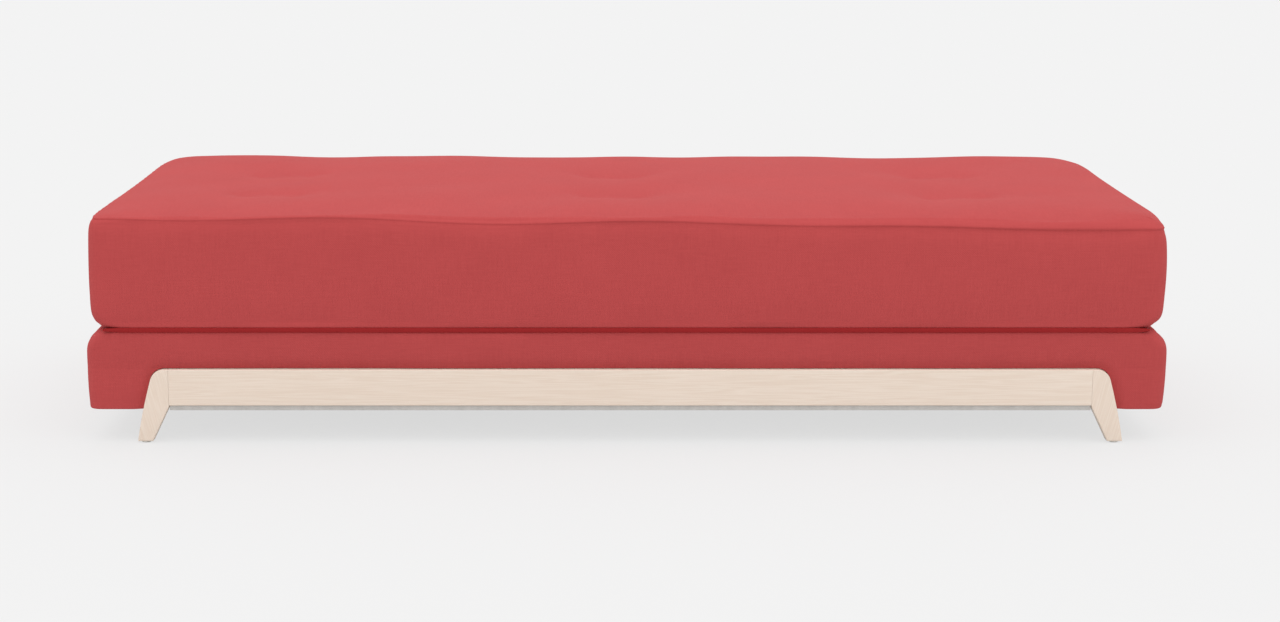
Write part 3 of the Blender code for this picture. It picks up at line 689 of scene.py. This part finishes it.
def block_mesh(name, rings):
    """A body through rings of points, one after another, with a face on each end."""
    count = len(rings[0])
    points = [p for ring in rings for p in ring]
    faces = [list(range(count))[::-1], [(len(rings) - 1) * count + i for i in range(count)]]
    for r in range(len(rings) - 1):
        for i in range(count):
            j = (i + 1) % count
            faces.append([r * count + i, r * count + j, (r + 1) * count + j, (r + 1) * count + i])
    mesh = bpy.data.meshes.new(name)
    mesh.from_pydata(points, [], faces)
    return mesh


def frame_cutter(name, line, y_from, y_to):
    """Room for a rail and its legs in the front or the rear of the base."""
    outline = line + [(-x, z) for x, z in reversed(line)]
    rings = [[(x, y, z) for x, z in outline] for y in sorted((y_from, y_to))]
    return new_object(name, block_mesh(name, rings))


def box_cutter(name, low, high):
    corners = [(low[0], low[1]), (high[0], low[1]), (high[0], high[1]), (low[0], high[1])]
    rings = [[(x, y, z) for x, y in corners] for z in (low[2], high[2])]
    return new_object(name, block_mesh(name, rings))


def cut_away(obj, cutters):
    for tool in cutters:
        modifier = obj.modifiers.new(tool.name, "BOOLEAN")
        modifier.operation = "DIFFERENCE"
        modifier.solver = "EXACT"
        modifier.object = tool
    bake_modifiers(obj)
    for tool in cutters:
        bpy.data.objects.remove(tool, do_unlink=True)


def room_cutters(line):
    """Bodies in the shape of the room that the base leaves for its rails, legs and carcass."""
    low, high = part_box("base_cover")
    slat_low, slat_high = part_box("slat_1")
    board_low, board_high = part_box("carcass_front_board")
    return [
        frame_cutter("front_room", line, low.y - CUT_OVER, slat_low.y + CUT_INNER),
        frame_cutter("rear_room", line, slat_high.y - CUT_INNER, high.y + CUT_OVER),
        box_cutter(
            "carcass_room",
            (board_low.x - NOTCH_GAP, slat_low.y - NOTCH_GAP, low.z - CUT_OVER),
            (board_high.x + NOTCH_GAP, slat_high.y + NOTCH_GAP, slat_high.z + NOTCH_GAP),
        ),
    ]


def dip_at_frame(place, points, half, middle, line):
    """Draws the cloth in where it meets the wooden frame."""
    from_centre = np.abs(points[:, 0] + middle[0])
    away = line_distance(from_centre, points[:, 2] + middle[2], [(0.0, line[0][1])] + line)
    near_face = np.clip(1 - (half[1] - np.abs(place[:, 1])) / CUT_OVER, 0, 1)
    dip = DIP_DEPTH * np.exp(-(away / DIP_REACH) ** 2) * near_face
    points[:, 1] -= np.sign(place[:, 1]) * dip


def lean_forward(place, points, half, top_level):
    """Moves the front of the base forwards, from nothing at the rail to the most at its top."""
    forward = np.clip(-place[:, 1] / half[1], 0, 1) ** LEAN_POWER
    points[:, 1] -= BASE_LEAN * forward * np.clip((place[:, 2] - top_level) / (half[2] - top_level), 0, 1)


def make_base(material):
    low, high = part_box("base_cover")
    front = low.y + BASE_FRONT_ROOM
    size = np.array([high.x - low.x, high.y - front, high.z - low.z])
    half = (size - [2 * BASE_BULGE, 2 * BASE_BULGE, BASE_CROWN]) / 2
    middle = np.array([COVER_SHIFT, (front + high.y) / 2, low.z + half[2]])
    line = frame_outline(NOTCH_GAP)
    top_level = line[0][1] - middle[2]
    leg_low, leg_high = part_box("front_right_leg")
    leg_lines = np.arange(leg_low.x, leg_high.x + DIP_REACH, LEG_STOP)
    lines = [
        stops(half[0], [*leg_lines, *-leg_lines]),
        stops(half[1]),
        stops(half[2], [top_level + s for s in FRAME_STOPS]),
    ]
    obj, place = lattice_object("base_upholstery", lines)
    top_radius = edge_radius(place, half, FOLD_RADIUS, BASE_END_RADIUS, FOLD_CORNER_REACH, {})
    start = padded_form(place, half, BASE_CROWN, 0.0, BASE_BULGE * START_SHARE, top_radius, HEM_RADIUS)
    write_points(obj.data, start)
    gaps = np.sort(half - np.abs(place), axis=1)
    framed = (place[:, 2] < top_level + DIP_REACH) & (np.abs(place[:, 0]) < leg_high.x + DIP_REACH)
    face = half[1] - np.abs(place[:, 1]) < TINY
    held = (gaps[:, 1] < SEAM_HELD) | (framed & face) | (np.abs(place[:, 2]) > half[2] - TINY)
    swell_cloth(obj, held, BASE_CAP)
    subdivide(obj)
    mesh = obj.data
    place = read_places(mesh)
    points = read_points(mesh)
    push_sides(place, points, half, BASE_WAVE_SHARE * unevenness(place, half))
    dip_at_frame(place, points, half, middle, line)
    lean_forward(place, points, half, top_level)
    write_points(mesh, points + middle)
    cut_away(obj, room_cutters(line))
    shade_smooth(obj, BASE_SHARP_DEGREES)
    obj.data.materials.clear()
    obj.data.materials.append(material)
    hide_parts("base_cover", "base_foam")
    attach(obj, "base")


# Fold hinge strip

def make_strip(material):
    """A tape folded round the fold's axis: a lap in the base, a lap in the mattress, and thin ends."""
    hinge = next(j for j in frame["joints"] if j["name"] == "mattress_fold")
    axis_y, axis_z = hinge["pos_m"][1:]
    low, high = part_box("fold_hinge_strip")
    inner = STRIP_HALF_HEIGHT - STRIP_THICKNESS
    angles = [-math.pi / 2 - math.pi * i / STRIP_STEPS for i in range(STRIP_STEPS + 1)]
    outside = [(math.cos(a) * STRIP_REACH, math.sin(a) * STRIP_HALF_HEIGHT) for a in angles]
    inner_reach = STRIP_REACH - STRIP_THICKNESS
    inside = [(math.cos(a) * inner_reach, math.sin(a) * inner) for a in reversed(angles)]
    section = [(STRIP_LAP, -STRIP_HALF_HEIGHT), *outside, (STRIP_LAP, STRIP_HALF_HEIGHT)]
    section += [(STRIP_LAP, inner), *inside, (STRIP_LAP, -inner)]
    half_length = (high.x - low.x) / 2 + STRIP_OVER
    rings = []
    for i in range(STRIP_LENGTHS + 1):
        x = half_length * math.sin(math.pi * (i / STRIP_LENGTHS - 0.5))
        full = min((half_length - abs(x)) / STRIP_TAPER, 1.0)
        share = STRIP_END_SHARE + (1 - STRIP_END_SHARE) * math.sqrt(full)
        place = (x + COVER_SHIFT, axis_y + STRIP_INSET, axis_z)
        rings.append([(place[0], place[1] + u * share, place[2] + v * share) for u, v in section])
    mesh = block_mesh("hinge_strip", rings)
    pattern = mesh.uv_layers.new(name="Pattern")
    for loop in mesh.loops:
        x, y, z = mesh.vertices[loop.vertex_index].co
        pattern.data[loop.index].uv = (x, (y - axis_y) * (1 if z > axis_z else -1))
    obj = new_object("hinge_strip", mesh)
    shade_smooth(obj, STRIP_SHARP_DEGREES)
    # The tape's material is darker than the upholstery: it paints the shade of the groove along the fold
    mesh.materials.append(material)
    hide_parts("fold_hinge_strip")
    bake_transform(obj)


# Zip

def join_boxes(name, boxes):
    """Small boxes with chamfered tops, as one mesh."""
    points = []
    faces = []
    for (x, y, z), (sx, sy, sz), chamfer in boxes:
        base = len(points)
        for depth, shrink in ((-sy, 0.0), (sy - chamfer, 0.0), (sy, chamfer)):
            for u, v in ((-1, -1), (1, -1), (1, 1), (-1, 1)):
                points.append((x + u * (sx - shrink), y + depth, z + v * (sz - shrink)))
        faces.append([base, base + 1, base + 2, base + 3])
        for ring in (0, 1):
            for i in range(4):
                j = (i + 1) % 4
                a = base + ring * 4
                faces.append([a + j, a + i, a + 4 + i, a + 4 + j])
        faces.append([base + 11, base + 10, base + 9, base + 8])
    mesh = bpy.data.meshes.new(name)
    mesh.from_pydata(points, [], faces)
    return mesh


def make_zip(tape_material, tooth_material):
    low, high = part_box("mattress_zip")
    length = high.x - low.x
    level = (low.z + high.z) / 2
    count = int(length / TOOTH_PITCH)
    face = high.y - TOOTH_TALL
    tooth_half = (TOOTH_WIDE / 2, TOOTH_TALL / 2, TOOTH_LONG / 2)
    boxes = []
    for i in range(count):
        x = low.x + (i + 0.5) * length / count
        z = level + (TOOTH_STAGGER if i % 2 else -TOOTH_STAGGER)
        boxes.append(((x, face + TOOTH_TALL / 2, z), tooth_half, TOOTH_CHAMFER))
    teeth = new_object("zip_teeth", join_boxes("zip_teeth", boxes))
    teeth.data.materials.append(tooth_material)
    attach(teeth, "mattress")
    flatten(teeth)
    tape_half = (length / 2, (face - low.y) / 2, (high.z - low.z) / 2)
    tape_place = (0.0, (face + low.y) / 2, level)
    tape = new_object("zip_tape", join_boxes("zip_tape", [(tape_place, tape_half, TAPE_CHAMFER)]))
    tape.data.materials.append(tape_material)
    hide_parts("mattress_zip")
    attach(tape, "mattress")
    flatten(tape)


def make_slider():
    """The zip's slider, shaped and finished as in the CAD, which moves with the cover around it."""
    node = frame["nodes"]["mattress_zip_slider"]
    slider = new_object("zip_slider_body", node.data.copy())
    slider.matrix_world = node.matrix_world
    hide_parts("mattress_zip_slider")
    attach(slider, "zip_slider")
    flatten(slider)


# Materials

def new_material(name):
    material = bpy.data.materials.new(name)
    material.use_nodes = True
    tree = material.node_tree
    return material, tree, tree.nodes["Principled BSDF"]


def connect(tree, socket, value):
    if isinstance(value, bpy.types.NodeSocket):
        tree.links.new(value, socket)
    else:
        socket.default_value = value


def add(tree, kind, inputs, **settings):
    """A shader node with its settings, and with its inputs set or linked."""
    made = tree.nodes.new("ShaderNode" + kind)
    for key, value in settings.items():
        setattr(made, key, value)
    for key, value in inputs.items():
        connect(tree, made.inputs[key], value)
    return made


def maths(tree, operation, *values):
    return add(tree, "Math", dict(enumerate(values)), operation=operation).outputs[0]


def stretched(tree, vector, scale):
    return add(tree, "VectorMath", {0: vector, 1: scale}, operation="MULTIPLY").outputs[0]


def noise(tree, vector, scale, detail, distortion=0.0):
    inputs = {"Scale": 1.0, "Detail": detail, "Distortion": distortion}
    inputs["Vector"] = stretched(tree, vector, scale)
    return add(tree, "TexNoise", inputs).outputs["Fac"]


def mixed(tree, factor, first, second):
    made = add(tree, "Mix", {}, data_type="RGBA")
    connect(tree, made.inputs[0], factor)
    connect(tree, made.inputs[6], first)
    connect(tree, made.inputs[7], second)
    return made.outputs[2]


def ranged(tree, value, low, high, to_low, to_high):
    inputs = {"Value": value, "From Min": low, "From Max": high, "To Min": to_low, "To Max": to_high}
    return add(tree, "MapRange", inputs).outputs["Result"]


def rgba(colour):
    return (*colour, 1.0)


def grey(level):
    return (level, level, level, 1.0)


def bumped(tree, shader, height, strength, distance):
    bump = add(tree, "Bump", {"Height": height, "Strength": strength, "Distance": distance})
    tree.links.new(bump.outputs["Normal"], shader.inputs["Normal"])


def woven_cloth(name, light, dark, pitch, sheen):
    """Plain-woven cloth: threads over and under, uneven yarns both ways, and a soft sheen."""
    material, tree, shader = new_material(name)
    pattern = add(tree, "UVMap", {}, uv_map="Pattern").outputs["UV"]
    parts = add(tree, "SeparateXYZ", {"Vector": pattern})
    warp = maths(tree, "SINE", maths(tree, "MULTIPLY", parts.outputs["X"], math.pi / pitch))
    weft = maths(tree, "SINE", maths(tree, "MULTIPLY", parts.outputs["Y"], math.pi / pitch))
    crossing = maths(tree, "MULTIPLY", warp, weft)
    along = noise(tree, pattern, (*YARN_SCALES, 1.0), YARN_DETAIL)
    across = noise(tree, pattern, (*YARN_SCALES[::-1], 1.0), YARN_DETAIL)
    cloud = noise(tree, pattern, (CLOUD_SCALE, CLOUD_SCALE, 1.0), CLOUD_DETAIL)
    yarn = maths(tree, "ADD", along, across)
    clouded = maths(tree, "ADD", yarn, maths(tree, "MULTIPLY", cloud, CLOUD_SHARE))
    tone = ranged(tree, clouded, *YARN_TONES, 0.0, 1.0)
    threads = ranged(tree, crossing, -1.0, 1.0, 0.0, 1.0)
    toned = maths(tree, "MULTIPLY", tone, 1 - THREAD_SHARE)
    shade = maths(tree, "ADD", toned, maths(tree, "MULTIPLY", threads, THREAD_SHARE))
    connect(tree, shader.inputs["Base Color"], mixed(tree, shade, rgba(dark), rgba(light)))
    connect(tree, shader.inputs["Roughness"], ranged(tree, cloud, *CLOUD_RANGE, *CLOTH_ROUGHNESS))
    shader.inputs["Specular IOR Level"].default_value = CLOTH_SPECULAR
    shader.inputs["Sheen Weight"].default_value = sheen
    shader.inputs["Sheen Roughness"].default_value = SHEEN_ROUGHNESS
    shader.inputs["Sheen Tint"].default_value = SHEEN_TINT
    height = maths(tree, "ADD", crossing, maths(tree, "MULTIPLY", yarn, YARN_RELIEF))
    bumped(tree, shader, height, *CLOTH_BUMP)
    return material


def wood(name, light, dark, grain, tilt, roughness):
    """Sawn wood: growth lines and pores drawn out along the grain, which may be tilted."""
    material, tree, shader = new_material(name)
    place = add(tree, "TexCoord", {}).outputs["Object"]
    if tilt:
        turned = add(tree, "VectorRotate", {"Vector": place, "Angle": tilt}, rotation_type="Y_AXIS")
        place = turned.outputs[0]
    growth = noise(tree, place, grain, GROWTH_DETAIL, GROWTH_WARP)
    lines = maths(tree, "SINE", maths(tree, "MULTIPLY", growth, GROWTH_LINES))
    pores = noise(tree, place, tuple(PORE_SCALE * g for g in grain), PORE_DETAIL)
    patch = noise(tree, place, (PATCH_SCALE,) * 3, PATCH_DETAIL)
    drawn = maths(tree, "MULTIPLY", lines, GROWTH_SHARE)
    figure = maths(tree, "ADD", drawn, maths(tree, "MULTIPLY", pores, PORE_SHARE))
    patched = maths(tree, "ADD", figure, maths(tree, "MULTIPLY", patch, PATCH_SHARE))
    tone = ranged(tree, patched, *WOOD_TONES, 0.0, 1.0)
    connect(tree, shader.inputs["Base Color"], mixed(tree, tone, rgba(dark), rgba(light)))
    rough = (roughness - WOOD_GLOSS_SPREAD, roughness + WOOD_GLOSS_SPREAD)
    connect(tree, shader.inputs["Roughness"], ranged(tree, pores, *PORE_RANGE, *rough))
    bumped(tree, shader, figure, *WOOD_BUMP)
    return material


def speckled(name, light, dark, scale, roughness, metallic, strength):
    """A plain finish with fine unevenness of colour, gloss and surface."""
    material, tree, shader = new_material(name)
    place = add(tree, "TexCoord", {}).outputs["Object"]
    fine = noise(tree, place, scale, FINE_DETAIL)
    broad = noise(tree, place, tuple(s * BROAD_SCALE for s in scale), BROAD_DETAIL)
    tone = ranged(tree, maths(tree, "ADD", fine, broad), *SPECKLE_TONES, 0.0, 1.0)
    connect(tree, shader.inputs["Base Color"], mixed(tree, tone, rgba(dark), rgba(light)))
    rough = (roughness - SPECKLE_GLOSS_SPREAD, roughness + SPECKLE_GLOSS_SPREAD)
    connect(tree, shader.inputs["Roughness"], ranged(tree, fine, *FINE_RANGE, *rough))
    shader.inputs["Metallic"].default_value = metallic
    bumped(tree, shader, fine, strength, SPECKLE_BUMP)
    return material


def finish_node(names, material):
    for name in names:
        mesh = frame["nodes"][name].data
        mesh.materials.clear()
        mesh.materials.append(material)


def finish_frame():
    """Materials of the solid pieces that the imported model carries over."""
    nodes = sorted(frame["nodes"])
    rail = wood("Rail wood", PALE_WOOD, PALE_GRAIN, RAIL_GRAIN, 0.0, PALE_ROUGHNESS)
    left = wood("Left leg wood", PALE_WOOD, PALE_GRAIN, LEG_GRAIN, LEG_TILT, PALE_ROUGHNESS)
    right = wood("Right leg wood", PALE_WOOD, PALE_GRAIN, LEG_GRAIN, -LEG_TILT, PALE_ROUGHNESS)
    pine = wood("Pine along", PINE, PINE_GRAIN, PINE_ALONG, 0.0, PINE_ROUGHNESS)
    pine_across = wood("Pine across", PINE, PINE_GRAIN, PINE_ACROSS, 0.0, PINE_ROUGHNESS)
    steel = speckled("Bolt steel", STEEL, STEEL_DULL, *STEEL_FINISH)
    plastic = speckled("Glide plastic", PLASTIC, PLASTIC_DULL, *PLASTIC_FINISH)
    lining = speckled("Underside lining", LINING, LINING_DEEP, *LINING_FINISH)
    cord = speckled("Tie cord", CORD, CORD_DEEP, *CORD_FINISH)
    finish_node([n for n in nodes if n.endswith("_rail")], rail)
    finish_node([n for n in nodes if n.endswith("left_leg")], left)
    finish_node([n for n in nodes if n.endswith("right_leg")], right)
    finish_node([n for n in nodes if n.endswith(("front_board", "rear_board", "_tenon", "beam"))], pine)
    finish_node([n for n in nodes if n.startswith("slat")], pine_across)
    finish_node([n for n in nodes if n.endswith(("left_board", "right_board"))], pine_across)
    finish_node([n for n in nodes if "_bolt_" in n or "_insert_" in n or n.endswith("slider")], steel)
    finish_node([n for n in nodes if n.endswith("_glide")], plastic)
    finish_node(["underside_panel"], lining)
    finish_node([n for n in nodes if n.startswith("tuft_tie")], cord)


# Stage

def seen_directly(tree):
    """1 where a surface is seen by the camera, in a reflection or through glass."""
    path = add(tree, "LightPath", {})
    mirrored = maths(tree, "MAXIMUM", path.outputs["Is Glossy Ray"], path.outputs["Is Transmission Ray"])
    return maths(tree, "MAXIMUM", path.outputs["Is Camera Ray"], mirrored)


def make_floor():
    half = FLOOR_SIZE / 2
    corners = [(-half, -half), (half, -half), (half, half), (-half, half)]
    mesh = bpy.data.meshes.new("floor")
    mesh.from_pydata([(x, y, FLOOR_LEVEL) for x, y in corners], [], [(0, 1, 2, 3)])
    floor = new_object("floor", mesh)
    material, tree, shader = new_material("Pale floor")
    shader.inputs["Base Color"].default_value = grey(FLOOR_COLOUR)
    shader.inputs["Roughness"].default_value = 1.0
    shader.inputs["Specular IOR Level"].default_value = 0.0
    plain = add(tree, "Emission", {"Color": grey(BACKGROUND)})
    share = maths(tree, "MULTIPLY", seen_directly(tree), FLOOR_PLAIN_SHARE)
    both = add(tree, "MixShader", {0: share, 1: shader.outputs[0], 2: plain.outputs[0]})
    tree.links.new(both.outputs[0], tree.nodes["Material Output"].inputs["Surface"])
    mesh.materials.append(material)


def make_light():
    world = bpy.data.worlds.new("Studio")
    world.use_nodes = True
    tree = world.node_tree
    light = tree.nodes["Background"]
    light.inputs["Color"].default_value = grey(1.0)
    light.inputs["Strength"].default_value = WORLD_LIGHT
    plain = add(tree, "Background", {"Color": grey(BACKGROUND), "Strength": 1.0})
    both = add(tree, "MixShader", {0: seen_directly(tree), 1: light.outputs[0], 2: plain.outputs[0]})
    tree.links.new(both.outputs[0], tree.nodes["World Output"].inputs["Surface"])
    bpy.context.scene.world = world
    lamp = bpy.data.lights.new("Soft key", "SUN")
    lamp.energy = KEY_LIGHT
    lamp.angle = KEY_SPREAD
    key = new_object("Soft key", lamp)
    key.rotation_euler = (KEY_TILT, 0, KEY_TURN)


def make_camera():
    lens = bpy.data.cameras.new("Camera")
    lens.lens = CAMERA_LENS
    lens.shift_x = CAMERA_SHIFT
    camera = new_object("Camera", lens)
    camera.location = CAMERA_PLACE
    camera.rotation_euler = (math.pi / 2 - CAMERA_PITCH, 0, 0)
    bpy.context.scene.camera = camera


make_camera()
make_light()
make_floor()
upholstery = woven_cloth("Red upholstery", RED, RED_DEEP, WEAVE_PITCH, UPHOLSTERY_SHEEN)
# The hinge tape's material holds painted shade of the groove at the fold
groove_shaded_tape = woven_cloth("Hinge tape with painted groove shade", GROOVE_SHADED_RED, GROOVE_SHADED_DEEP, WEAVE_PITCH, 0.0)
thickness_kept = make_mattress(upholstery)
make_base(upholstery)
make_strip(groove_shaded_tape)
# The zip's darker tone reuses the tape red that holds the painted groove shade
zip_tape = speckled("Zip tape", RED_DEEP, GROOVE_SHADED_RED, *ZIP_TAPE_FINISH)
zip_teeth = speckled("Zip teeth", RED_DEEP, GROOVE_SHADED_RED, *ZIP_TOOTH_FINISH)
make_zip(zip_tape, zip_teeth)
finish_frame()
make_slider()
bpy.context.scene.view_settings.view_transform = "Standard"
